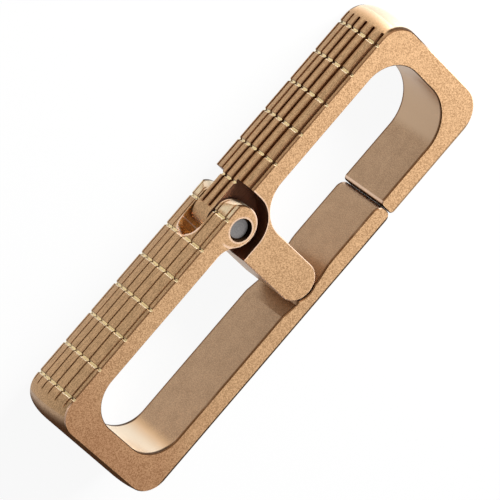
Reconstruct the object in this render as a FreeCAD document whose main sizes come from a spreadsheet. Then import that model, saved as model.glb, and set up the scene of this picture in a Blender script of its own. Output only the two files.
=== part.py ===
import FreeCAD, Part
import os
import re
import Sketcher

# A belt key clip of two flat metal loops hinged together.
# Local frame of every piece: the hinge axis is Z through the origin, X runs from the grooved grip face
# to the springy arm, Y runs to the hook end, and the back face lies at Z zero.

SIZES = {
    # the closed clip
    "thickness": 9.3,
    "clip_width": 20.4,
    "crown_rise": 0.95,
    "end_rise": 0.4,
    "lower_reach": 34.4,
    "upper_reach": 34.1,
    "edge_break": 0.12,
    # lower frame
    "grip_arm": 2.8,
    "foot_bar": 4.27,
    "foot_corner": 3.4,
    "spring_arm": 2.8,
    "arm_relief": 0.12,
    "lip_blend": 8.0,
    "lower_window_corner": 4.8,
    "ear_radius": 2.95,
    "ear_to_pin": 0.7,
    "ear_fillet": 3.0,
    "flare_start": 4.6,
    "flare_end": 2.2,
    "flare_depth": 0.5,
    "arm_tip": 14.9,
    "slit": 0.06,
    "slot_ledge": 0.1,
    "slot_end_rise": 0.35,
    # upper hook
    "hook_arm": 2.75,
    "hook_bar": 3.78,
    "hook_near_corner": 3.6,
    "hook_far_corner": 4.1,
    "hook_tip_arm": 2.65,
    "window_near_corner": 5.0,
    "window_far_corner": 6.0,
    "hook_tip_inner_round": 0.6,
    "hook_tip_outer_round": 0.6,
    "tongue_top": 2.95,
    "tongue_drop": 2.65,
    "notch_bite": 0.65,
    "tongue_fillet": 5.2,
    "tang_width": 3.4,
    "pocket_top_gap": 1.8,
    "pocket_side_gap": 1.4,
    "pocket_wall": 0.32,
    # hinge pin and clearances
    "pin_diameter": 3.0,
    "pin_recess": 0.6,
    "pin_end_break": 0.15,
    "bore_relief": 0.15,
    "bore_relief_depth": 1.0,
    "running_clearance": 0.03,
    "side_play": 0.35,
    "notch_gap": 0.3,
    "sweep_clearance": 0.1,
    # grip grooves
    "cross_pitch": 5.0,
    "cross_width": 0.55,
    "cross_depth": 0.28,
    "foot_to_cross": 4.1,
    "top_to_cross": 4.9,
    "groove_land": 0.6,
    "frame_groove_width": 0.26,
    "frame_groove_depth": 0.16,
    "hook_groove_width": 0.5,
    "hook_groove_depth": 0.42,
    "groove_runout": 1.5,
    # how far every cut runs past the solid
    "overrun": 2.0,
}
LONG_GROOVE_COUNT = 6
CROSS_SWEEP_DEGREES = 120
# rounds of the springy arm's tip, each a share of the arm's breadth there
TIP_ROUND_SHARES = {"inner": 0.52, "outer": 0.38}

doc = FreeCAD.newDocument("belt_key_clip")
sheet = doc.addObject("Spreadsheet::Sheet", "dims")
for row, (alias, size) in enumerate(SIZES.items(), start=1):
    sheet.set(f"A{row}", alias)
    sheet.set(f"B{row}", str(size))
    sheet.setAlias(f"B{row}", alias)
doc.recompute()


def named(formula):
    """Writes a formula of size names as an expression that reads the sheet."""
    return re.sub(r"[a-z_]+", lambda word: f"dims.{word[0]}" if word[0] in SIZES else word[0], formula)


def value(formula):
    return float(sheet.evalExpression(named(formula)))


# formulas that several pieces share
# the pin stands a little to the right of the middle of the round ears
KNUCKLE_RADIUS = "(ear_radius + ear_to_pin)"
GRIP_X = f"(-{KNUCKLE_RADIUS})"
EAR_X = "(-ear_to_pin)"
EDGE_X = f"({GRIP_X} + crown_rise)"
RIGHT_X = f"({EDGE_X} + clip_width)"


def crown_radius(rise):
    return f"(({rise} ^ 2 + (thickness / 2) ^ 2) / (2 * {rise}))"


CROWN_RADIUS = crown_radius("crown_rise")
CROWN_AXIS_X = f"({GRIP_X} + {CROWN_RADIUS})"
INNER_X = f"({RIGHT_X} - spring_arm)"
LIP_X = f"({INNER_X} + arm_relief)"
TONGUE_REACH = f"({INNER_X} + notch_bite)"
TONGUE_RADIUS = "((tongue_top + tongue_drop) / 2)"
TONGUE_END_Y = "((tongue_top - tongue_drop) / 2)"
TONGUE_END_X = f"sqrt(({TONGUE_REACH} - {TONGUE_RADIUS}) ^ 2 - {TONGUE_END_Y} ^ 2)"
MIDDLE_Z = "(thickness / 2)"
POCKET_TOP = "(ear_radius + pocket_top_gap)"
POCKET_SIDE = f"({EAR_X} + ear_radius + pocket_side_gap)"
POCKET_DEPTH = "((thickness - tang_width) / 2)"
# the pocket's round leaves a thin wall to the round at the root of the tongue
WINDOW_X = f"({EDGE_X} + hook_arm)"
ROOT_ASIDE = f"({WINDOW_X} + tongue_fillet - {POCKET_SIDE})"
ROOT_ABOVE = f"(tongue_top + tongue_fillet - {POCKET_TOP})"
ROOT_SPAN = "(tongue_fillet + pocket_wall)"
ROOT_SLACK = f"({ROOT_SPAN} - {ROOT_ASIDE} - {ROOT_ABOVE})"
POCKET_CORNER = (
    f"({ROOT_SLACK} + sqrt({ROOT_SLACK} ^ 2 + {ROOT_SPAN} ^ 2 - {ROOT_ASIDE} ^ 2 - {ROOT_ABOVE} ^ 2))"
)
LONG_PITCH = f"((thickness - 2 * groove_land) / {LONG_GROOVE_COUNT - 1})"
FIRST_CROSS_Y = "(-(lower_reach - foot_to_cross))"
LAST_CROSS_Y = "(upper_reach - top_to_cross)"


def bind(thing, prop, formula):
    thing.setExpression(prop, named(formula))


def origin_feature(body, role):
    return next(item for item in body.Origin.OriginFeatures if item.Role == role)


def new_body(label):
    body = doc.addObject("PartDesign::Body", label)
    body.Label = label
    # the finished part stands with its origin under the middle of its box
    bind(body, "Placement.Base.x", f"-({RIGHT_X} + {GRIP_X}) / 2")
    bind(body, "Placement.Base.y", "-(upper_reach - lower_reach) / 2")
    return body


def new_sketch(body, name, role, offset="0"):
    sketch = body.newObject("Sketcher::SketchObject", name)
    sketch.AttachmentSupport = [(origin_feature(body, role), "")]
    sketch.MapMode = "FlatFace"
    bind(sketch, "AttachmentOffset.Base.z", offset)
    return sketch


def hold(sketch, kind, geo, pos, formula):
    """Ties one coordinate of a sketch point to a formula."""
    index = sketch.addConstraint(Sketcher.Constraint(kind, geo, pos, value(formula)))
    bind(sketch, f"Constraints[{index}]", formula)


class ArcTo:
    """A round stretch of an outline, about a centre, to the next point."""

    def __init__(self, centre, held, clockwise=False):
        self.centre = centre
        self.held = held
        self.clockwise = clockwise


def add_outline(sketch, items):
    """Draws one closed outline of points, with an ArcTo between two points that a round joins."""
    corners = [item for item in items if not isinstance(item, ArcTo)]
    arcs = {}
    count = 0
    for item in items:
        if isinstance(item, ArcTo):
            arcs[count - 1] = item
        else:
            count += 1
    places = [FreeCAD.Vector(value(x), value(y), 0) for x, y in corners]
    first = sketch.GeometryCount
    starts = []
    for index, place in enumerate(places):
        after = places[(index + 1) % count]
        arc = arcs.get(index)
        if arc is None:
            sketch.addGeometry(Part.LineSegment(place, after))
            starts.append((1, 2))
            continue
        centre = FreeCAD.Vector(value(arc.centre[0]), value(arc.centre[1]), 0)
        begin, end = (after, place) if arc.clockwise else (place, after)
        circle = Part.Circle(centre, FreeCAD.Vector(0, 0, 1), (place - centre).Length)
        sketch.addGeometry(Part.ArcOfCircle(circle, circle.parameter(begin), circle.parameter(end)))
        starts.append((2, 1) if arc.clockwise else (1, 2))
    for index, (x, y) in enumerate(corners):
        here = first + index
        after = first + (index + 1) % count
        sketch.addConstraint(
            Sketcher.Constraint("Coincident", here, starts[index][1], after, starts[(index + 1) % count][0])
        )
        hold(sketch, "DistanceX", here, starts[index][0], x)
        hold(sketch, "DistanceY", here, starts[index][0], y)
    for index, arc in arcs.items():
        if arc.held == "x":
            hold(sketch, "DistanceX", first + index, 3, arc.centre[0])
        else:
            hold(sketch, "DistanceY", first + index, 3, arc.centre[1])


def add_rectangle(sketch, left, right, bottom, top):
    add_outline(sketch, [(left, bottom), (right, bottom), (right, top), (left, top)])


def add_circle(sketch, x, y, radius):
    circle = Part.Circle(FreeCAD.Vector(value(x), value(y), 0), FreeCAD.Vector(0, 0, 1), value(radius))
    geo = sketch.addGeometry(circle)
    hold(sketch, "DistanceX", geo, 3, x)
    hold(sketch, "DistanceY", geo, 3, y)
    index = sketch.addConstraint(Sketcher.Constraint("Radius", geo, value(radius)))
    bind(sketch, f"Constraints[{index}]", radius)


def pad(body, sketch, length):
    feature = body.newObject("PartDesign::Pad", sketch.Name + "_pad")
    feature.Profile = sketch
    bind(feature, "Length", length)
    doc.recompute()
    return feature


def pocket(body, sketch, length=None, reverse=False, both_ways=False):
    """Cuts a sketch out of a body, through all of it where no length is given."""
    before = body.Shape.Volume
    feature = body.newObject("PartDesign::Pocket", sketch.Name + "_cut")
    feature.Profile = sketch
    feature.Reversed = reverse
    if both_ways:
        feature.SideType = "Symmetric"
    if length is None:
        feature.Type = "ThroughAll"
    else:
        bind(feature, "Length", length)
    doc.recompute()
    if not body.Shape.Volume < before:
        raise RuntimeError(f"{feature.Name} cuts nothing")
    return feature


def upright_edge(shape, x, y):
    """Names the edge across the thickness that stands nearest to one place of the outline."""
    place = FreeCAD.Vector(value(x), value(y), 0)
    distances = {}
    for index, edge in enumerate(shape.Edges, start=1):
        if edge.BoundBox.ZLength > value("edge_break"):
            middle = edge.CenterOfMass
            distances[f"Edge{index}"] = (FreeCAD.Vector(middle.x, middle.y, 0) - place).Length
    return min(distances, key=distances.get)


def round_corners(body, name, radius, places):
    base = body.Tip
    feature = body.newObject("PartDesign::Fillet", name)
    feature.Base = (base, [upright_edge(base.Shape, x, y) for x, y in places])
    bind(feature, "Radius", radius)
    doc.recompute()
    return feature


def cut_crown(body, name, plane, apex, rise, outward):
    """Rounds one outer face across the thickness, from the front edge to the back edge."""
    inward = "-" if outward == "+" else "+"
    edge = f"({apex} {inward} {rise})"
    far = f"({apex} {outward} overrun)"
    middle = f"({apex} {inward} {crown_radius(rise)})"
    levels = [("thickness", "thickness + overrun"), ("0", "-overrun")]
    (start, past_start), (end, past_end) = levels if outward == "-" else levels[::-1]
    sketch = new_sketch(body, name, plane)
    add_outline(sketch, [
        (edge, start),
        ArcTo((middle, MIDDLE_Z), "x"),
        (edge, end),
        (edge, past_end),
        (far, past_end),
        (far, past_start),
        (edge, past_start),
    ])
    pocket(body, sketch, both_ways=True)


def cut_cross_grooves(body, name, first_y, count):
    """Cuts the row of V grooves that follow the crown across the grip face."""
    sketch = new_sketch(body, name, "XY_Plane", MIDDLE_Z)
    spread = "(cross_width / 2 * (1 + overrun / cross_depth))"
    add_outline(sketch, [
        (f"{GRIP_X} - overrun", f"{first_y} - {spread}"),
        (f"{GRIP_X} + cross_depth", first_y),
        (f"{GRIP_X} - overrun", f"{first_y} + {spread}"),
    ])
    axis = sketch.addGeometry(Part.LineSegment(
        FreeCAD.Vector(value(CROWN_AXIS_X), value(f"{first_y} - overrun"), 0),
        FreeCAD.Vector(value(CROWN_AXIS_X), value(f"{first_y} + overrun"), 0),
    ), True)
    for pos, y in ((1, f"{first_y} - overrun"), (2, f"{first_y} + overrun")):
        hold(sketch, "DistanceX", axis, pos, CROWN_AXIS_X)
        hold(sketch, "DistanceY", axis, pos, y)
    groove = body.newObject("PartDesign::Groove", name + "_cut")
    groove.Profile = sketch
    groove.ReferenceAxis = (sketch, ["Axis0"])
    groove.Angle = CROSS_SWEEP_DEGREES
    groove.Midplane = True
    doc.recompute()
    row = body.newObject("PartDesign::LinearPattern", name + "_row")
    row.Originals = [groove]
    row.Direction = (origin_feature(body, "Y_Axis"), [""])
    row.Occurrences = count
    bind(row, "Length", f"cross_pitch * {count - 1}")
    body.Tip = row
    doc.recompute()


def cut_long_grooves(body, name, width, depth, low, high):
    """Cuts the grooves along the grip face in mirrored pairs, each to one depth under the crown."""
    for pair in range(LONG_GROOVE_COUNT // 2):
        away = f"({2 * pair + 1} / 2 * {LONG_PITCH})"
        face_x = f"({CROWN_AXIS_X} - sqrt({CROWN_RADIUS} ^ 2 - {away} ^ 2))"
        sketch = new_sketch(body, f"{name}_{pair}", "YZ_Plane", f"{face_x} + {depth}")
        for side in ("+", "-"):
            middle = f"({MIDDLE_Z} {side} {away})"
            add_outline(sketch, [
                (low, f"{middle} - {width} / 2"),
                (high, f"{middle} - {width} / 2"),
                ArcTo((high, middle), "x"),
                (high, f"{middle} + {width} / 2"),
                (low, f"{middle} + {width} / 2"),
                ArcTo((low, middle), "x"),
            ])
        pocket(body, sketch)


def break_edges(body, name):
    """Breaks the sharp edges round the front and back faces."""
    base = body.Tip
    levels = (value("0"), value("thickness"))
    picked = []
    for index, edge in enumerate(base.Shape.Edges, start=1):
        box = edge.BoundBox
        flat = box.ZLength < value("edge_break") / 2
        if flat and min(abs(box.ZMin - level) for level in levels) < value("edge_break") / 2:
            picked.append(f"Edge{index}")
    feature = body.newObject("PartDesign::Chamfer", name)
    feature.Base = (base, picked)
    bind(feature, "Size", "edge_break")
    doc.recompute()


def make_lower_frame():
    body = new_body("lower_frame")
    arm_x = f"({EDGE_X} + grip_arm)"
    foot_y = "(-(lower_reach - foot_bar))"
    ear_join_y = f"(-sqrt(ear_radius ^ 2 - ({arm_x} - {EAR_X}) ^ 2))"

    outline = new_sketch(body, "frame_outline", "XY_Plane")
    add_outline(outline, [
        (GRIP_X, "-lower_reach"),
        (RIGHT_X, "-lower_reach"),
        (RIGHT_X, "arm_tip"),
        (LIP_X, "arm_tip"),
        (LIP_X, "0"),
        (f"{INNER_X} + flare_depth", "-flare_end"),
        (INNER_X, "-flare_start"),
        (INNER_X, foot_y),
        (arm_x, foot_y),
        (arm_x, ear_join_y),
        ArcTo((EAR_X, "0"), "x"),
        (GRIP_X, "0"),
    ])
    pad(body, outline, "thickness")
    round_corners(body, "lower_window_rounds", "lower_window_corner", [(arm_x, foot_y), (INNER_X, foot_y)])
    round_corners(body, "ear_fillet_round", "ear_fillet", [(arm_x, ear_join_y)])
    for side, x in (("inner", LIP_X), ("outer", RIGHT_X)):
        tip_round = f"({RIGHT_X} - {LIP_X}) * {TIP_ROUND_SHARES[side]}"
        round_corners(body, f"arm_tip_{side}", tip_round, [(x, "arm_tip")])
    cut_crown(body, "frame_crown", "XZ_Plane", GRIP_X, "crown_rise", "-")
    cut_crown(body, "foot_crown", "YZ_Plane", "(-lower_reach)", "end_rise", "-")
    round_corners(body, "foot_rounds", "foot_corner", [
        (GRIP_X, "-lower_reach"),
        (RIGHT_X, "-lower_reach"),
    ])

    notch = new_sketch(body, "notch", "XY_Plane")
    add_circle(notch, TONGUE_END_X, TONGUE_END_Y, f"{TONGUE_RADIUS} + notch_gap")
    pocket(body, notch, reverse=True)
    # the upper lip stands clear of the round that the tongue's tip sweeps about the pin
    sweep = f"({TONGUE_REACH} + sweep_clearance)"
    sweep_top = f"sqrt({sweep} ^ 2 - {LIP_X} ^ 2)"
    lip = new_sketch(body, "lip", "XY_Plane")
    add_outline(lip, [
        (TONGUE_END_X, "0"),
        (sweep, "0"),
        ArcTo(("0", "0"), "y"),
        (LIP_X, sweep_top),
        (TONGUE_END_X, sweep_top),
    ])
    pocket(body, lip, reverse=True)
    round_corners(body, "lip_round", "lip_blend", [(LIP_X, sweep_top)])

    break_edges(body, "frame_edges")
    # the ears stand either side of the tang, and the slot's round end is a little narrower
    ear_side = f"({EAR_X} + ear_radius + overrun)"
    half_slot = "(tang_width / 2 + side_play)"
    end_radius = f"({half_slot} - slot_ledge)"
    end_y = f"(-({KNUCKLE_RADIUS} - slot_end_rise))"
    slot_end = new_sketch(body, "slot_end", "YZ_Plane", ear_side)
    add_outline(slot_end, [
        ("overrun + ear_radius", f"{MIDDLE_Z} + {end_radius}"),
        (end_y, f"{MIDDLE_Z} + {end_radius}"),
        ArcTo((end_y, MIDDLE_Z), "x"),
        (end_y, f"{MIDDLE_Z} - {end_radius}"),
        ("overrun + ear_radius", f"{MIDDLE_Z} - {end_radius}"),
    ])
    pocket(body, slot_end)
    slot = new_sketch(body, "slot", "YZ_Plane", ear_side)
    add_rectangle(slot, end_y, "overrun + ear_radius", f"{MIDDLE_Z} - {half_slot}",
                  f"{MIDDLE_Z} + {half_slot}")
    pocket(body, slot)

    bore = new_sketch(body, "bore", "XY_Plane")
    add_circle(bore, "0", "0", "pin_diameter / 2")
    pocket(body, bore, reverse=True)
    for name, level, upward in (("back_relief", "0", True), ("front_relief", "thickness", False)):
        relief = new_sketch(body, name, "XY_Plane", level)
        add_circle(relief, "0", "0", "pin_diameter / 2 + bore_relief")
        pocket(body, relief, "bore_relief_depth", reverse=upward)
    cross_count = int(value(f"-{FIRST_CROSS_Y} / cross_pitch")) + 1
    cut_cross_grooves(body, "frame_cross", FIRST_CROSS_Y, cross_count)
    bottom = f"({FIRST_CROSS_Y} - groove_runout)"
    cut_long_grooves(body, "frame_groove", "frame_groove_width", "frame_groove_depth", bottom, "ear_radius")
    return body


def make_upper_hook():
    body = new_body("upper_hook")
    bar_y = "(upper_reach - hook_bar)"
    tip_y = "(arm_tip + slit)"
    inner_x = f"({RIGHT_X} - hook_tip_arm)"
    knuckle_x = f"(-sqrt({KNUCKLE_RADIUS} ^ 2 - tongue_drop ^ 2))"

    outline = new_sketch(body, "hook_outline", "XY_Plane")
    add_outline(outline, [
        (GRIP_X, "upper_reach"),
        (GRIP_X, "0"),
        ArcTo(("0", "0"), "x"),
        (knuckle_x, "-tongue_drop"),
        (TONGUE_END_X, "-tongue_drop"),
        ArcTo((TONGUE_END_X, TONGUE_END_Y), "x"),
        (TONGUE_END_X, "tongue_top"),
        (WINDOW_X, "tongue_top"),
        (WINDOW_X, bar_y),
        (inner_x, bar_y),
        (inner_x, tip_y),
        (RIGHT_X, tip_y),
        (RIGHT_X, "upper_reach"),
    ])
    pad(body, outline, "thickness")
    round_corners(body, "window_near_round", "window_near_corner", [(WINDOW_X, bar_y)])
    round_corners(body, "window_far_round", "window_far_corner", [(inner_x, bar_y)])
    round_corners(body, "tongue_fillet_round", "tongue_fillet", [(WINDOW_X, "tongue_top")])
    round_corners(body, "hook_tip_inner", "hook_tip_inner_round", [(inner_x, tip_y)])
    round_corners(body, "hook_tip_outer", "hook_tip_outer_round", [(RIGHT_X, tip_y)])
    cut_crown(body, "hook_crown", "XZ_Plane", GRIP_X, "crown_rise", "-")
    cut_crown(body, "top_crown", "YZ_Plane", "upper_reach", "end_rise", "+")
    round_corners(body, "hook_near_round", "hook_near_corner", [(GRIP_X, "upper_reach")])
    round_corners(body, "hook_far_round", "hook_far_corner", [(RIGHT_X, "upper_reach")])
    break_edges(body, "hook_edges")

    # a pocket on each face leaves room for one ear and bares the tang between them
    below = "(-(tongue_drop + overrun))"
    corner_x = f"({POCKET_SIDE} - {POCKET_CORNER})"
    corner_y = f"({POCKET_TOP} - {POCKET_CORNER})"
    for name, level, upward in (("back_pocket", "0", True), ("front_pocket", "thickness", False)):
        sketch = new_sketch(body, name, "XY_Plane", level)
        add_outline(sketch, [
            (f"{GRIP_X} - overrun", below),
            (POCKET_SIDE, below),
            (POCKET_SIDE, corner_y),
            ArcTo((corner_x, corner_y), "x"),
            (corner_x, POCKET_TOP),
            (f"{GRIP_X} - overrun", POCKET_TOP),
        ])
        pocket(body, sketch, POCKET_DEPTH, reverse=upward)

    bore = new_sketch(body, "tang_bore", "XY_Plane")
    add_circle(bore, "0", "0", "pin_diameter / 2 + running_clearance")
    pocket(body, bore, reverse=True)
    cross_count = int(value(f"{LAST_CROSS_Y} / cross_pitch")) + 1
    cut_cross_grooves(body, "hook_cross", f"({LAST_CROSS_Y} - cross_pitch * {cross_count - 1})", cross_count)
    top = f"({LAST_CROSS_Y} + groove_runout)"
    cut_long_grooves(body, "hook_groove", "hook_groove_width", "hook_groove_depth", "0", top)
    return body


def make_hinge_pin():
    body = new_body("hinge_pin")
    section = new_sketch(body, "pin_section", "XY_Plane", "pin_recess")
    add_circle(section, "0", "0", "pin_diameter / 2")
    shank = pad(body, section, "thickness - 2 * pin_recess")
    ends = body.newObject("PartDesign::Chamfer", "pin_ends")
    rims = [f"Edge{i}" for i, edge in enumerate(shank.Shape.Edges, start=1) if edge.BoundBox.XLength > 0
            and edge.BoundBox.ZLength < value("pin_end_break")]
    ends.Base = (shank, rims)
    bind(ends, "Size", "pin_end_break")
    doc.recompute()
    return body


pieces = [make_lower_frame(), make_upper_hook(), make_hinge_pin()]
doc.recompute()

failed = [item.Name for item in doc.Objects if "Invalid" in item.State or "Error" in item.State]
if failed:
    raise RuntimeError(f"these features failed: {failed}")
for piece in pieces:
    if piece.Shape.isNull() or not piece.Shape.isValid() or len(piece.Shape.Solids) != 1:
        raise RuntimeError(f"{piece.Label} is not one sound solid")

os.makedirs("parts", exist_ok=True)
for piece in pieces:
    piece.Shape.exportStep(f"parts/{piece.Label}.step")
    box = piece.Shape.optimalBoundingBox(False)
    print(piece.Label, f"{piece.Shape.Volume:.2f}", [round(v, 3) for v in (
        box.XMin, box.XMax, box.YMin, box.YMax, box.ZMin, box.ZMax)])
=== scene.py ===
import math

import bpy
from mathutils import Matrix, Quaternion, Vector


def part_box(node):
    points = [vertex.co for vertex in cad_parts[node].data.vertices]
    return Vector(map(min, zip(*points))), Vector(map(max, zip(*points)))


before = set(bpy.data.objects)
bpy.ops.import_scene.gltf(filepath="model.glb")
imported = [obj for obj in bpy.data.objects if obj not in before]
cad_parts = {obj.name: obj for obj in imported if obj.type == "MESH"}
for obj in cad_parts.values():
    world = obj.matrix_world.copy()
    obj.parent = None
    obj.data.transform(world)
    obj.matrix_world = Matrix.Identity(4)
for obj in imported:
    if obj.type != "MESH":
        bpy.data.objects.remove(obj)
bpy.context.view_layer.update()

# A belt key clip: blasted bronze loops with a grooved grip edge, hinged on a steel pin.
# Lengths in the finishes are millimetres of the part's own frame, and places in the scene are metres.
# A finish is painted by marks: values that are 1 where a mark lies and 0 elsewhere.
# A pair of numbers gives the two values between which a mark comes in, goes out or lies.

MM_PER_M = 1000.0
FRAME_LOW, FRAME_HIGH = (corner * MM_PER_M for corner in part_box("lower_frame"))
PIN_LOW, PIN_HIGH = (corner * MM_PER_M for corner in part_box("hinge_pin"))
HOOK_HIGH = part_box("upper_hook")[1] * MM_PER_M
GRIP_X = FRAME_LOW.x
HALF_THICKNESS = (FRAME_HIGH.z - FRAME_LOW.z) / 2
MIDDLE_Z = (FRAME_HIGH.z + FRAME_LOW.z) / 2
PIN_X = (PIN_LOW.x + PIN_HIGH.x) / 2
PIN_Y = (PIN_LOW.y + PIN_HIGH.y) / 2

# the grip edge: its crown, its long grooves and its cross grooves
CROWN_RISE = 0.95
CROWN_RADIUS = (CROWN_RISE ** 2 + HALF_THICKNESS ** 2) / (2 * CROWN_RISE)
LONG_PITCH = 1.62
FRAME_LONG_WIDTH = 0.26
HOOK_LONG_WIDTH = 0.5
GROOVE_RUNOUT = 1.5
FRAME_GROOVE_TOP = PIN_Y + 1.8
CROSS_PITCH = 5.0
CROSS_WIDTH = 0.55
FRAME_CROSS_STEPS = 6
HOOK_CROSS_STEPS = 5
FRAME_FIRST_CROSS = FRAME_LOW.y + 4.1
FRAME_LAST_CROSS = FRAME_FIRST_CROSS + FRAME_CROSS_STEPS * CROSS_PITCH
HOOK_LAST_CROSS = HOOK_HIGH.y - 4.9
HOOK_FIRST_CROSS = HOOK_LAST_CROSS - HOOK_CROSS_STEPS * CROSS_PITCH

# the hinge: the round of the ears, the hook's pocket that makes room for them, and the slot between them
EAR_X = PIN_X - 0.7
EAR_RADIUS = 2.95
POCKET_ROUND_X = PIN_X - 0.95
POCKET_ROUND_Y = PIN_Y + 0.15
POCKET_ROUND_RADIUS = 4.6
SLOT_END_Y = PIN_Y - 3.3
SLOT_END_RADIUS = 1.95

# the slit between the springy arm's tip and the hook's tip
SLIT_Y = FRAME_HIGH.y + 0.03

# how far a surface leans to the front or back, to the hook end, or away from the pin's axis, from -1 to 1
FLAT_LEAN = (0.80, 0.95)
EDGE_LEAN = (0.45, 0.60)
GRIP_LEAN = (0.50, 0.65)
LIT_END_LEAN = (0.05, 0.45)
END_HIGHLIGHT_LEAN = (0.25, 0.75)
SHADED_EDGE_LEAN = (0.25, 0.85)
TIP_END_LEAN = (0.985, 0.998)
HINGE_WALL_LEAN = (-0.5, -0.2)
KNUCKLE_LEAN = (0.5, 0.8)

# how far a side is turned: -1 to the foot end and 1 to the hook end
OUTER_FOOT_TURN = (-1.0, -0.65)
CORNER_START_TURN = (-0.95, -0.75)
CORNER_STOP_TURN = (-0.3, 0.0)
SHEEN_ROUND_TURN = (-0.30, -0.02)

# heights from the middle of the thickness, and depths under the grip edge's crown
OUTER_HEIGHT = (HALF_THICKNESS - 0.5, HALF_THICKNESS - 0.3)
RIM_HEIGHT = (HALF_THICKNESS - 0.48, HALF_THICKNESS - 0.18)
LIT_END_RIM_WIDER = 0.2
SKIN_DEPTH = (0.65, 0.80)
CUT_DEPTH = (0.03, 0.10)

# places along the clip and, from its middle, across it, and how far marks wander and fade
HOOK_END_Y = (HOOK_HIGH.y - 4.0, HOOK_HIGH.y - 3.0)
SHEEN_ROUND_Y = (HOOK_HIGH.y - 14.0, HOOK_HIGH.y - 12.0)
FOOT_Y = (FRAME_LOW.y + 4.0, FRAME_LOW.y + 6.0)
FOOT_SHADE_Y = (FRAME_LOW.y, FRAME_LOW.y + 17.0)
FOOT_SHADE_WANDER = 14.0
SPRING_ARM_Y = (PIN_Y - 6.05, FRAME_HIGH.y + 0.05)
SPRING_ARM_X = (3.0, 4.0)
FAR_END_X = (-5.0, -2.0)
END_HIGHLIGHT_STOP_X = (-8.0, 0.0)
FAR_RIM_X = (FRAME_HIGH.x - 0.38, FRAME_HIGH.x - 0.30)
TIPS_X = (4.0, 5.0)
FRAME_GLEAM_X = 0.0
FRAME_HIGHLIGHT_Y = FRAME_LOW.y
HOOK_HIGHLIGHT_Y = PIN_Y + 10.0
MARK_FADE = 1.0
END_FADE = 0.1

# places and distances about the hinge
NEAR_HINGE = (6.0, 7.0)
GLEAM_START_X = (EAR_X - 0.8, EAR_X + 0.2)
HINGE_WALL_REACH = (5.6, 5.8)
KNUCKLE_REACH = (3.3, 3.6)
KNUCKLE_SIDE = (-0.3, 0.4)
BORE_REACH = (1.75, 1.85)
BORE_RING_REACH = (1.80, 1.95)
EAR_SIDE = (-0.5, 0.5)
EAR_RING_START = (EAR_RADIUS - 0.35, EAR_RADIUS - 0.15)
EAR_RING_STOP = (EAR_RADIUS, EAR_RADIUS + 0.1)
POCKET_RING_START = (-0.1, 0.0)
POCKET_RING_STOP = (0.12, 0.20)
SLOT_RIM_REACH = (SLOT_END_RADIUS + 0.15, SLOT_END_RADIUS + 0.30)
SLOT_RIM_Y = (SLOT_END_Y, SLOT_END_Y + 0.8)
SLOT_LEDGE = (0.05, 0.12)

# distances from the slit and about the grip edge's grooves, the shares being of a groove's half width
SLIT_SHADE = (0.11, 0.20)
TIP_SHINE = (0.28, 0.50)
GROOVE_WALL_SHARE = 1.2
GROOVE_SHADE_SHARE = 0.8
GROOVE_SHADE_REACH = 0.45
GROOVE_SIDE_REACH = 0.25
FRONT_GROOVE = (2 * LONG_PITCH, 2.4 * LONG_PITCH)
BACK_GROOVES = (LONG_PITCH, 1.3 * LONG_PITCH)
CROSS_SIDE = (0.42 * CROSS_WIDTH, 0.55 * CROSS_WIDTH)
CROSS_SHADE = (0.20 * CROSS_WIDTH, 0.40 * CROSS_WIDTH)

# noise values between which a tone comes in, and how much of a second noise is mixed in
NOISE_MIDDLE = 0.5
SPECKLE_TONE = (0.38, 0.60)
SPECKLE_MOTTLE_SHARE = 0.1
SATIN_TONE = (0.38, 0.62)
SATIN_MOTTLE_SHARE = 0.2
GRIP_TONE = (0.36, 0.62)
GRIP_STREAK_SHARE = 0.4
KNUCKLE_TONE = (0.30, 0.55)
RECESS_TONE = (0.5, 0.7)
RIM_TONE = (0.30, 0.60)
RIM_GRAIN_SHARE = 0.4
STEEL_TONE = (0.35, 0.65)
STEEL_GRAIN_SHARE = 0.4

# how strongly a mark covers what is under it, or how much of it is held back
FOOT_SHADE_SHARE = 0.9
FRONT_GROOVE_LOSS = 0.45
BACK_GROOVES_LOSS = 0.85
END_HIGHLIGHT_STOP_LOSS = 0.85
FAR_EDGE_LOSS = 0.85
GLEAM_EDGE_LOSS = 0.15
KNUCKLE_SHARE = 0.6
CROSSING_SHARE = 0.8
RECESS_SHADE_SHARE = 0.35
LIT_END_RIM_SHARE = 0.6
FACE_RING_SHARE = 0.7
TIP_SHINE_SHARE = 0.6
FAR_EDGE_SHARE = 0.6
EDGE_SHADE_SHARE = 0.85

# roughness and relief
BRONZE_ROUGHNESS = 0.40
BLASTED_ROUGHER = 0.18
GRAIN_ROUGHER = 0.16
CUT_SMOOTHER = 0.12
EDGE_ROUGHER = 0.40
SHADE_ROUGHER = 0.35
SIDE_RELIEF = 0.3
FLAT_RELIEF = 0.7
STREAK_RELIEF = 0.5
STEEL_ROUGHNESS = 0.38
STEEL_TONE_ROUGHER = 0.2

# colours as linear red, green and blue
BLASTED = (0.735, 0.478, 0.268, 1.0)
BLASTED_DEEP = (0.50, 0.296, 0.15, 1.0)
# painted shade: the front and back go darker and redder towards the foot
FOOT_SHADE = (0.58, 0.325, 0.175, 1.0)
FOOT_SHADE_DEEP = (0.40, 0.195, 0.09, 1.0)
SATIN = (0.51, 0.336, 0.205, 1.0)
SATIN_DEEP = (0.35, 0.222, 0.132, 1.0)
# painted sheen: lighter and greyer on the inner round at the hook end, which looks to the foot
SHEEN_ROUND = (0.54, 0.375, 0.245, 1.0)
# painted highlight: near-cream on the rounds and sides that look to the hook end
END_HIGHLIGHT = (0.87, 0.73, 0.56, 1.0)
# painted shade: dull and dark on the foot's outer wall
FOOT_WALL_SHADE = (0.15, 0.065, 0.03, 1.0)
GRIP = (0.70, 0.45, 0.245, 1.0)
GRIP_DEEP = (0.38, 0.235, 0.12, 1.0)
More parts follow.
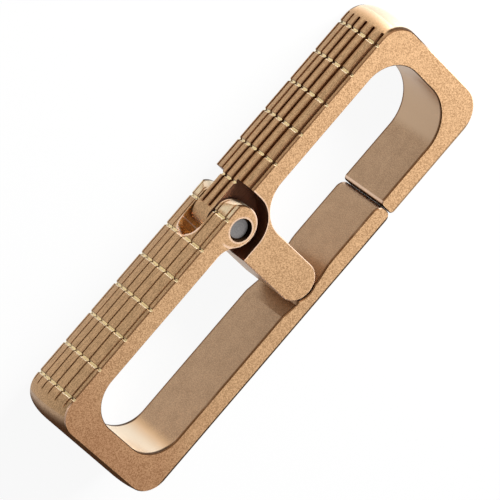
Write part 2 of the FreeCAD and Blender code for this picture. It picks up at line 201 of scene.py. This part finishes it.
# painted highlight: pale gold on one side of each cross cut and on the knuckle
CUT_HIGHLIGHT = (1.0, 0.87, 0.61, 1.0)
SHADED_CUT = (0.20, 0.11, 0.05, 1.0)
# painted highlight: pale lines on edges, rings and tips
EDGE_HIGHLIGHT = (0.94, 0.70, 0.53, 1.0)
# painted shade: dark lines along the sides next to the front and back edges
RIM_SHADE = (0.16, 0.075, 0.03, 1.0)
# painted shade in the long grooves of the frame and the hook
FRAME_GROOVE = (0.45, 0.27, 0.13, 1.0)
HOOK_GROOVE = (0.27, 0.105, 0.035, 1.0)
# the frame's slot inside: saturated orange, painted for light bounced about in it
FRAME_RECESS = (0.80, 0.40, 0.13, 1.0)
# the hook's pocket and the walls about the pin: dark painted shade
HOOK_RECESS = (0.23, 0.11, 0.07, 1.0)
# near-black painted shade, for the bore, the slit, the rims, the edges and the recess
SHADE_BLACK = (0.020, 0.010, 0.005, 1.0)
STEEL = (0.56, 0.53, 0.52, 1.0)
STEEL_DEEP = (0.40, 0.38, 0.37, 1.0)
WHITE = (1.0, 1.0, 1.0, 1.0)
FLOOR_PAINT = (0.50, 0.50, 0.50, 1.0)

# the floor, the room and the camera: places in metres, film and lens in millimetres, angles in degrees,
# and how far a way leans to the room's bright side, from -1 to 1
FLOOR_CORNER_SIGNS = ((-1, -1), (1, -1), (1, 1), (-1, 1))
FLOOR_DROP = 0.00005
ROOM_SIDE = (-0.5, 0.95)
CAMERA_AZIMUTH = -175.27
CAMERA_ELEVATION = 49.88
CAMERA_ROLL = 126.94
CAMERA_DISTANCE = 0.60977
CAMERA_AIM = (0.00013, -0.00058, 0.00465)
CAMERA_FILM = 36.0
CAMERA_LENS = 338.9
CAMERA_NEAR = 0.01
CAMERA_FAR = 20.0


class Wire:
    """One output of a node. Sums and products of wires and numbers add Math nodes."""

    def __init__(self, finish, socket):
        self.finish = finish
        self.socket = socket

    def math(self, operation, *operands):
        return self.finish.node("ShaderNodeMath", {"operation": operation}, dict(enumerate(operands)))

    def out(self, name):
        return Wire(self.finish, self.socket.node.outputs[name])

    def __add__(self, other):
        return self.math("ADD", self, other)

    def __radd__(self, other):
        return self.math("ADD", other, self)

    def __sub__(self, other):
        return self.math("SUBTRACT", self, other)

    def __rsub__(self, other):
        return self.math("SUBTRACT", other, self)

    def __mul__(self, other):
        return self.math("MULTIPLY", self, other)

    def __rmul__(self, other):
        return self.math("MULTIPLY", other, self)

    def __truediv__(self, other):
        return self.math("DIVIDE", self, other)

    def __pow__(self, other):
        return self.math("POWER", self, other)

    def __abs__(self):
        return self.math("ABSOLUTE", self)

    def larger(self, other):
        return self.math("MAXIMUM", self, other)

    def blend(self, other, share):
        """This value with a share of another one mixed in."""
        return self * (1 - share) + other * share

    def rise(self, low, high):
        """Goes smoothly from 0 to 1 as this value goes from low to high."""
        return self.finish.node("ShaderNodeMapRange", {"interpolation_type": "SMOOTHSTEP"},
                                {"Value": self, "From Min": low, "From Max": high})

    def fall(self, low, high):
        """Goes smoothly from 1 to 0 as this value goes from low to high."""
        return 1 - self.rise(low, high)

    def within(self, ends, margin=0.0):
        """1 where this value lies between two ends or less than a margin past them, and 0 further out."""
        low, high = ends[0] - margin, ends[1] + margin
        return self.rise(low - END_FADE, low) * self.fall(high, high + END_FADE)

    def past_nearest(self, start, pitch):
        """How far this value is past the nearest of evenly spaced lines, or less than 0 short of it."""
        steps = (self - start) / pitch
        return (steps - self.math("ROUND", steps)) * pitch


class Finish:
    """A node tree that is written in code: a material's, or the world's."""

    def __init__(self, owner):
        owner.use_nodes = True
        self.owner = owner
        self.tree = owner.node_tree
        self.tree.nodes.clear()

    def node(self, kind, settings=None, sockets=None, output=0):
        made = self.tree.nodes.new(kind)
        for name, setting in (settings or {}).items():
            setattr(made, name, setting)
        for key, value in (sockets or {}).items():
            if isinstance(value, Wire):
                self.tree.links.new(value.socket, made.inputs[key])
            else:
                made.inputs[key].default_value = value
        if made.outputs:
            return Wire(self, made.outputs[output])

    def mix(self, first, second, share):
        """Goes from the first colour to the second as the share goes from 0 to 1."""
        return self.node("ShaderNodeMix", {"data_type": "RGBA"}, {0: share, 6: first, 7: second}, output=2)

    def noise(self, place, per_mm, detail, stretch=(1.0, 1.0, 1.0)):
        """Noise with so many features to a millimetre, as a value about one half."""
        drawn = self.node("ShaderNodeVectorMath", {"operation": "MULTIPLY"}, {0: place, 1: stretch})
        return self.node("ShaderNodeTexNoise", None, {"Vector": drawn, "Scale": per_mm, "Detail": detail})

    def place_mm(self):
        """The point's place in the part's frame, in millimetres."""
        coords = self.node("ShaderNodeTexCoord")
        return self.node("ShaderNodeVectorMath", {"operation": "SCALE"},
                         {0: coords.out("Object"), "Scale": MM_PER_M})

    def metal(self, colour, roughness, normal, bare=1.0):
        """Metal where bare is 1, and a dull, dark coat of painted shade on it where bare is 0."""
        shader = self.node("ShaderNodeBsdfPrincipled", None, {
            "Base Color": colour,
            "Metallic": bare,
            "Specular IOR Level": 0.0,
            "Roughness": roughness,
            "Normal": normal,
        })
        self.node("ShaderNodeOutputMaterial", None, {"Surface": shader})
        return self.owner


class Bronze(Finish):
    """The finish of one bronze piece, with the marks that it is painted by."""

    def __init__(self, name):
        super().__init__(bpy.data.materials.new(name))
        place = self.place_mm()
        spot = self.node("ShaderNodeSeparateXYZ", None, {0: place})
        self.x, self.y, self.z = (spot.out(axis) for axis in "XYZ")
        self.height = abs(self.z - MIDDLE_Z)
        aside, self.along = self.x - PIN_X, self.y - PIN_Y
        self.reach = (aside ** 2 + self.along ** 2) ** 0.5

        normal = self.node("ShaderNodeTexCoord").out("Normal")
        lean = self.node("ShaderNodeSeparateXYZ", None, {0: normal})
        facing = abs(lean.out("Z"))
        self.lean_y = lean.out("Y")
        self.turn = self.lean_y / (1 - facing ** 2) ** 0.5
        self.from_pin = (lean.out("X") * aside + self.lean_y * self.along) / self.reach

        self.flat = facing.rise(*FLAT_LEAN)
        self.side = 1 - self.flat
        self.outer = self.height.rise(*OUTER_HEIGHT)
        self.broken_edge = facing.rise(*EDGE_LEAN) * self.side * self.outer
        self.near_hinge = abs(self.along).fall(*NEAR_HINGE)
        depth = self.x - GRIP_X - CROWN_RADIUS + (CROWN_RADIUS ** 2 - self.height ** 2) ** 0.5
        self.skin = depth.fall(*SKIN_DEPTH)
        self.below_skin = depth.rise(*CUT_DEPTH)
        self.on_grip = self.skin * facing.fall(*GRIP_LEAN)

        # grain of the blasting, soft clouds that make the painted shade wander, blotches, and fine streaks
        # along the grip edge
        self.grain = self.noise(place, per_mm=6.5, detail=3.0)
        self.clouds = self.noise(place, per_mm=0.16, detail=3.0)
        self.mottle = self.noise(place, per_mm=0.7, detail=3.0)
        self.streaks = self.noise(place, per_mm=7.0, detail=3.0, stretch=(1.0, 0.12, 1.0))

    def mark_ends(self, highlight_from):
        """Painted highlight on the rounds that look to the hook end, the hook's far corner, and the foot
        with painted shade on its outer wall.
        """
        at_hook_end = self.y.rise(*HOOK_END_Y)
        self.far_end = at_hook_end * self.x.rise(*FAR_END_X)
        # a thin line of painted shade on the faces along the far outer edge
        self.far_rim = self.flat * self.outer * self.x.rise(*FAR_RIM_X)
        on_spring_arm = self.x.rise(*SPRING_ARM_X) * self.y.within(SPRING_ARM_Y)
        end_round = self.side * self.y.rise(highlight_from, highlight_from + MARK_FADE) * (1 - on_spring_arm)
        # sides that lean a little to the hook end: a softer step of painted highlight, with a wider rim of
        # painted shade
        self.lit_end_side = end_round * self.lean_y.rise(*LIT_END_LEAN)
        highlight_stop = at_hook_end * self.x.rise(*END_HIGHLIGHT_STOP_X) * END_HIGHLIGHT_STOP_LOSS
        # painted highlight on the sides that look to the hook end, held back at the hook's far corner
        self.end_highlight = end_round * self.lean_y.rise(*END_HIGHLIGHT_LEAN) * (1 - highlight_stop)
        inner_side = self.side * (1 - self.skin)
        # painted sheen on the inner round at the hook end
        self.sheen_round = inner_side * self.turn.fall(*SHEEN_ROUND_TURN) * self.y.rise(*SHEEN_ROUND_Y)

        at_foot = self.side * self.y.fall(*FOOT_Y)
        # the foot's outer wall, for painted shade
        self.outer_foot = at_foot * self.turn.fall(*OUTER_FOOT_TURN)
        # the foot's corner, whose broken edges take painted highlight instead of painted shade
        self.low_corner = at_foot * self.turn.rise(*CORNER_START_TURN) * self.turn.fall(*CORNER_STOP_TURN)

    def mark_hinge(self, gleam_end, knuckle_way):
        """The edges about the hinge in painted highlight, the walls and the knuckle about the pin, and
        rings of painted highlight on the faces.
        """
        # the edges about the hinge, which take painted highlight and no painted shade
        hinge_gleam = self.near_hinge * self.x.fall(gleam_end, gleam_end + MARK_FADE)
        self.hinge_gleam = hinge_gleam * self.x.rise(*GLEAM_START_X)
        # the walls about the pin, which take the recess's painted colour
        self.hinge_wall = self.from_pin.fall(*HINGE_WALL_LEAN) * self.reach.fall(*HINGE_WALL_REACH)
        # the knuckle, the ear's round end, which takes blotches of painted highlight
        knuckle = self.from_pin.rise(*KNUCKLE_LEAN) * self.reach.fall(*KNUCKLE_REACH)
        self.knuckle = knuckle * (self.along * knuckle_way).rise(*KNUCKLE_SIDE)
        # painted shade on the bore's wall about the pin
        self.bore = self.side * self.reach.fall(*BORE_REACH)

        # rings of painted highlight on the faces round the ear, the bore and the pocket
        from_ear = ((self.x - EAR_X) ** 2 + self.along ** 2) ** 0.5
        ear_ring = from_ear.rise(*EAR_RING_START) * from_ear.fall(*EAR_RING_STOP)
        ear_ring = ear_ring * (self.x - EAR_X).rise(*EAR_SIDE)
        bore_ring = self.reach.fall(*BORE_RING_REACH)
        over_x = (self.x - POCKET_ROUND_X).larger(0.0)
        over_y = (self.y - POCKET_ROUND_Y).larger(0.0)
        past_pocket = (over_x ** 2 + over_y ** 2) ** 0.5 - POCKET_ROUND_RADIUS
        pocket_ring = past_pocket.rise(*POCKET_RING_START) * past_pocket.fall(*POCKET_RING_STOP)
        pocket_ring = self.near_hinge * pocket_ring
        self.face_ring = self.flat * self.outer * ear_ring.larger(bore_ring).larger(pocket_ring)

    def mark_slit(self):
        """Painted shade in the slit and painted highlight lines beside it, on the tips of the arm and the
        hook.
        """
        at_tips = self.x.rise(*TIPS_X) * self.side
        from_slit = abs(self.y - SLIT_Y)
        # painted shade on the tips' rounds at the slit
        self.slit = at_tips * from_slit.fall(*SLIT_SHADE) * abs(self.lean_y).fall(*TIP_END_LEAN)
        # painted highlight lines beside the slit
        self.tip_shine = at_tips * from_slit.within(TIP_SHINE)

    def mark_grooves(self, groove_width, groove_ends, cross_ends):
        """The long grooves with painted shade in and beside them, and the cross grooves with one side in
        painted highlight.
        """
        half_width = groove_width / 2
        in_run = self.y.within(groove_ends, half_width)
        from_groove = abs(self.height.past_nearest(LONG_PITCH / 2, LONG_PITCH))
        self.in_groove = self.skin * in_run * from_groove.fall(half_width, GROOVE_WALL_SHARE * half_width)
        front_loss = (self.z - MIDDLE_Z).rise(*FRONT_GROOVE) * FRONT_GROOVE_LOSS
        back_loss = (MIDDLE_Z - self.z).rise(*BACK_GROOVES) * BACK_GROOVES_LOSS
        tone = 1 - front_loss - back_loss
        # painted shade in the long grooves and on the lands beside them
        self.long_cut = self.in_groove * self.below_skin * tone
        beside = self.on_grip * in_run * tone
        self.groove_shade = beside * from_groove.fall(GROOVE_SHADE_SHARE * half_width,
                                                      half_width + GROOVE_SHADE_REACH)
        self.groove_side = beside * from_groove.fall(half_width, half_width + GROOVE_SIDE_REACH)

        past_cross = self.y.past_nearest(cross_ends[0], CROSS_PITCH)
        cross_run = self.on_grip * self.below_skin * self.y.within(cross_ends, CROSS_WIDTH)
        self.cross_cut = cross_run * abs(past_cross).fall(*CROSS_SIDE)
        # one side of each cross cut in painted highlight, the rest in painted shade
        self.lit_cut = self.cross_cut * past_cross.fall(*CROSS_SHADE)

    def mark_edges(self):
        """The recess about the tang, in painted colour for shade and bounced light, painted shade in bore
        and slit, and painted highlight and shade on the edges. It needs the other marks.
        """
        # the recess: floors inside the faces and the walls about the pin, in painted colour for shade and
        # bounced light
        inside = self.flat * (1 - self.outer) * (1 - self.in_groove)
        self.recess = inside.larger(self.hinge_wall)
        # painted shade: dull and near black in the bore about the pin and in the slit
        self.gap_shade = self.bore.larger(self.slit)
        # a line of painted shade along the sides next to the front and back edges
        rim = self.side * (1 - self.on_grip * (1 - self.lit_end_side)) * (1 - self.cross_cut)
        rim = rim * (1 - self.hinge_gleam) * (1 - self.low_corner)
        self.rim = rim * (self.height + self.lit_end_side * LIT_END_RIM_WIDER).rise(*RIM_HEIGHT)

        along_slot = self.y - SLOT_END_Y
        from_slot_end = (along_slot ** 2 + self.height ** 2) ** 0.5
        # a ring of painted highlight on the grip edge round the slot's end, and a line of painted highlight
        # on its ledge
        slot_rim = self.on_grip * from_slot_end.fall(*SLOT_RIM_REACH) * self.y.fall(*SLOT_RIM_Y)
        slot_ledge = self.recess * abs(along_slot).fall(*SLOT_LEDGE)
        # painted highlight on the broken edges about the hinge and at the foot's corner
        highlit_edge = self.broken_edge * self.hinge_gleam.larger(self.low_corner)
        self.edge_shine = highlit_edge.larger(slot_rim).larger(slot_ledge)

        # painted shade on the broken edges that look to the hook end
        to_hook_end = self.lean_y.rise(*SHADED_EDGE_LEAN) * self.side * (1 - self.far_end * FAR_EDGE_LOSS)
        self.edge_shade = self.broken_edge * to_hook_end * (1 - self.hinge_gleam * GLEAM_EDGE_LOSS)

    def face_colour(self):
        """The blasted front and back, with painted shade, darker and redder, that wanders up from the foot.
        """
        speckle = self.grain.blend(self.mottle, SPECKLE_MOTTLE_SHARE).rise(*SPECKLE_TONE)
        blasted = self.mix(BLASTED_DEEP, BLASTED, speckle)
        foot_shade = self.mix(FOOT_SHADE_DEEP, FOOT_SHADE, speckle)
        foot = (self.y + (self.clouds - NOISE_MIDDLE) * FOOT_SHADE_WANDER).fall(*FOOT_SHADE_Y)
        return self.mix(blasted, foot_shade, foot * FOOT_SHADE_SHARE)

    def side_colour(self):
        """The satin sides."""
        tone = self.grain.blend(self.mottle, SATIN_MOTTLE_SHARE).rise(*SATIN_TONE)
        return self.mix(SATIN_DEEP, SATIN, tone)

    def grip_colour(self, groove_colour, groove_shade_share):
        """The streaky grip edge, with painted shade beside its long grooves."""
        tone = self.grain.blend(self.streaks, GRIP_STREAK_SHARE).rise(*GRIP_TONE)
        colour = self.mix(GRIP_DEEP, GRIP, tone)
        colour = self.mix(colour, groove_colour, self.groove_shade * groove_shade_share)
        return self.mix(colour, groove_colour, self.groove_side * groove_shade_share)


def bronze(name, groove_width, groove_colour, groove_shade_share, groove_ends, cross_ends, gleam_end, highlight_from,
           knuckle_way, recess_colour, far_rim_shade):
    """Blasted faces, satin sides, a streaky grip edge with long grooves in painted shade and cross cuts in
    painted highlight and shade.
    """
    piece = Bronze(name)
    piece.mark_ends(highlight_from)
    piece.mark_hinge(gleam_end, knuckle_way)
    piece.mark_slit()
    piece.mark_grooves(groove_width, groove_ends, cross_ends)
    piece.mark_edges()

    # spots of painted shade in the recess
    recess_shade_spots = piece.streaks.rise(*RECESS_TONE) * RECESS_SHADE_SHARE
    # clouds that make the painted rim shade come and go
    rim_shade_tone = (piece.clouds + piece.grain * RIM_GRAIN_SHARE).rise(*RIM_TONE)
    # painted highlight lines: rings on the faces, beside the slit, and on the far end's edges
    highlight_lines = (piece.face_ring * FACE_RING_SHARE + piece.tip_shine * TIP_SHINE_SHARE
                    + piece.broken_edge * piece.far_end * FAR_EDGE_SHARE)
    coats = (
        (piece.face_colour(), piece.flat),
        # painted sheen on the inner round at the hook end
        (SHEEN_ROUND, piece.sheen_round),
        # painted shade along the far outer edge of the faces
        (SHADE_BLACK, piece.far_rim * far_rim_shade),
        (piece.grip_colour(groove_colour, groove_shade_share), piece.on_grip),
        # painted highlight: the lighter face colour on the sides that lean a little to the hook end
        (BLASTED, piece.lit_end_side),
        # painted highlight on the rounds that look to the hook end
        (END_HIGHLIGHT, piece.end_highlight),
        # painted highlight in blotches on the knuckle
        (CUT_HIGHLIGHT, piece.knuckle * piece.mottle.rise(*KNUCKLE_TONE) * KNUCKLE_SHARE),
        # painted shade, dull and dark, on the foot's outer wall
        (FOOT_WALL_SHADE, piece.outer_foot),
        (SHADED_CUT, piece.cross_cut),
        # painted highlight on one side of each cross cut
        (CUT_HIGHLIGHT, piece.lit_cut),
        # painted shade in the long grooves
        (groove_colour, piece.long_cut),
        (SHADED_CUT, piece.cross_cut * piece.in_groove * CROSSING_SHARE),
        # the recess in painted shade and painted bounced light
        (piece.mix(recess_colour, SHADE_BLACK, recess_shade_spots), piece.recess),
        # painted shade along the sides' rims
        (RIM_SHADE, piece.rim * rim_shade_tone),
        # painted highlight on edges, the slot's rim and its ledge
        (EDGE_HIGHLIGHT, piece.edge_shine),
        # more painted shade on the rims of the sides that lean to the hook end
        (SHADE_BLACK, piece.rim * piece.lit_end_side * LIT_END_RIM_SHARE),
        # painted highlight lines
        (EDGE_HIGHLIGHT, highlight_lines),
        # painted shade on the broken edges that look to the hook end
        (SHADE_BLACK, piece.edge_shade * EDGE_SHADE_SHARE),
        # painted shade in the bore and the slit
        (SHADE_BLACK, piece.gap_shade),
    )
    colour = piece.side_colour()
    for coat, mark in coats:
        colour = piece.mix(colour, coat, mark)

    roughness = (BRONZE_ROUGHNESS
                 + (piece.flat + piece.on_grip) * BLASTED_ROUGHER
                 + (piece.grain - NOISE_MIDDLE) * GRAIN_ROUGHER
                 - piece.cross_cut * CUT_SMOOTHER
                 + piece.broken_edge * EDGE_ROUGHER
                 + (piece.gap_shade + piece.outer_foot) * SHADE_ROUGHER)
    relief = (piece.grain * (SIDE_RELIEF + piece.flat * FLAT_RELIEF)
              + piece.streaks * piece.on_grip * STREAK_RELIEF)
    bump = piece.node("ShaderNodeBump", None, {"Strength": 0.25, "Distance": 0.00006, "Height": relief})
    # the metal is dulled where the painted shade lies in the bore, the slit and on the foot's outer wall
    return piece.metal(colour, roughness, bump, 1 - piece.gap_shade.larger(piece.outer_foot))


def steel(name):
    """Turned steel: rings about the pin's axis, with a fine grain."""
    finish = Finish(bpy.data.materials.new(name))
    place = finish.place_mm()
    spot = finish.node("ShaderNodeSeparateXYZ", None, {0: place})
    reach = ((spot.out("X") - PIN_X) ** 2 + (spot.out("Y") - PIN_Y) ** 2) ** 0.5
    rings = finish.node("ShaderNodeTexNoise", {"noise_dimensions": "1D"},
                        {"W": reach, "Scale": 9.0, "Detail": 2.0})
    grain = finish.noise(place, per_mm=6.0, detail=2.0)
    tone = rings.blend(grain, STEEL_GRAIN_SHARE)
    colour = finish.mix(STEEL_DEEP, STEEL, tone.rise(*STEEL_TONE))
    roughness = STEEL_ROUGHNESS + (tone - NOISE_MIDDLE) * STEEL_TONE_ROUGHER
    bump = finish.node("ShaderNodeBump", None, {"Strength": 0.3, "Distance": 0.00003, "Height": tone})
    return finish.metal(colour, roughness, bump)


def dress(node, material):
    """Puts one finish on a node of the frame."""
    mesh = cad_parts[node].data
    mesh.materials.clear()
    mesh.materials.append(material)


def seen_ray(finish):
    """1 for what the camera sees, directly or in a reflection, and 0 for the light that falls on things."""
    ray = finish.node("ShaderNodeLightPath")
    return ray.out("Is Camera Ray") + ray.out("Is Glossy Ray") + ray.out("Is Transmission Ray")


def pale_floor(half_side, lift):
    """A pale floor just under the part. The lift whitens what is seen of it and keeps the shadow."""
    mesh = bpy.data.meshes.new("floor")
    corners = [(x * half_side, y * half_side, -FLOOR_DROP) for x, y in FLOOR_CORNER_SIGNS]
    mesh.from_pydata(corners, [], [range(len(corners))])
    floor = bpy.data.objects.new("floor", mesh)
    bpy.context.scene.collection.objects.link(floor)
    finish = Finish(bpy.data.materials.new("floor_paint"))
    paint = finish.node("ShaderNodeBsdfDiffuse", None, {"Color": FLOOR_PAINT})
    glow = finish.node("ShaderNodeEmission", None, {"Color": WHITE, "Strength": 1.0})
    shader = finish.node("ShaderNodeMixShader", None, {0: seen_ray(finish) * lift, 1: paint, 2: glow})
    finish.node("ShaderNodeOutputMaterial", None, {"Surface": shader})
    mesh.materials.append(finish.owner)


def soft_sky(low, high, bright_side):
    """A soft room: dim on one side and brighter on the other."""
    world = bpy.data.worlds.new("soft_room")
    bpy.context.scene.world = world
    finish = Finish(world)
    way = finish.node("ShaderNodeTexCoord").out("Generated")
    side = finish.node("ShaderNodeVectorMath", {"operation": "DOT_PRODUCT"},
                       {0: way, 1: Vector(bright_side).normalized()}, output="Value")
    glow = low + side.rise(*ROOM_SIDE) * (high - low)
    shader = finish.node("ShaderNodeBackground", None, {"Color": WHITE, "Strength": glow})
    finish.node("ShaderNodeOutputWorld", None, {"Surface": shader})


def softbox(name, way, distance, size, watts):
    """A square lamp that looks at the part from one way."""
    lamp = bpy.data.lights.new(name, "AREA")
    lamp.energy = watts
    lamp.size = size
    holder = bpy.data.objects.new(name, lamp)
    bpy.context.scene.collection.objects.link(holder)
    back = Vector(way).normalized()
    holder.location = back * distance
    holder.visible_camera = False
    holder.rotation_mode = "QUATERNION"
    holder.rotation_quaternion = (-back).to_track_quat("-Z", "Y")


def photo_camera():
    """The camera at the photograph's angle: a long lens from the grip side, turned on its axis."""
    data = bpy.data.cameras.new("photo_camera")
    data.sensor_width = CAMERA_FILM
    data.lens = CAMERA_LENS
    data.clip_start, data.clip_end = CAMERA_NEAR, CAMERA_FAR
    camera = bpy.data.objects.new("photo_camera", data)
    bpy.context.scene.collection.objects.link(camera)
    azimuth, elevation = math.radians(CAMERA_AZIMUTH), math.radians(CAMERA_ELEVATION)
    level = math.cos(elevation)
    back = Vector((level * math.cos(azimuth), level * math.sin(azimuth), math.sin(elevation)))
    roll = Quaternion((0, 0, 1), math.radians(CAMERA_ROLL))
    camera.location = Vector(CAMERA_AIM) + back * CAMERA_DISTANCE
    camera.rotation_mode = "QUATERNION"
    camera.rotation_quaternion = (-back).to_track_quat("-Z", "Y") @ roll
    bpy.context.scene.camera = camera


dress("lower_frame", bronze(
    "bronze_frame", groove_width=FRAME_LONG_WIDTH, groove_colour=FRAME_GROOVE, groove_shade_share=0.10,
    groove_ends=(FRAME_FIRST_CROSS - GROOVE_RUNOUT, FRAME_GROOVE_TOP),
    cross_ends=(FRAME_FIRST_CROSS, FRAME_LAST_CROSS),
    gleam_end=FRAME_GLEAM_X, highlight_from=FRAME_HIGHLIGHT_Y, knuckle_way=1,
    recess_colour=FRAME_RECESS, far_rim_shade=0.9))
dress("upper_hook", bronze(
    "bronze_hook", groove_width=HOOK_LONG_WIDTH, groove_colour=HOOK_GROOVE, groove_shade_share=0.40,
    groove_ends=(PIN_Y, HOOK_LAST_CROSS + GROOVE_RUNOUT),
    cross_ends=(HOOK_FIRST_CROSS, HOOK_LAST_CROSS),
    gleam_end=HOOK_HIGH.x, highlight_from=HOOK_HIGHLIGHT_Y, knuckle_way=-1,
    recess_colour=HOOK_RECESS, far_rim_shade=0.45))
dress("hinge_pin", steel("turned_steel"))

photo_camera()
pale_floor(half_side=1.5, lift=0.93)
soft_sky(low=0.22, high=0.36, bright_side=(0.64, 0.10, 0.76))
softbox("back_light", way=(0.05, 0.90, 0.40), distance=0.36, size=0.24, watts=6.4)

scene = bpy.context.scene
scene.view_settings.view_transform = "Standard"
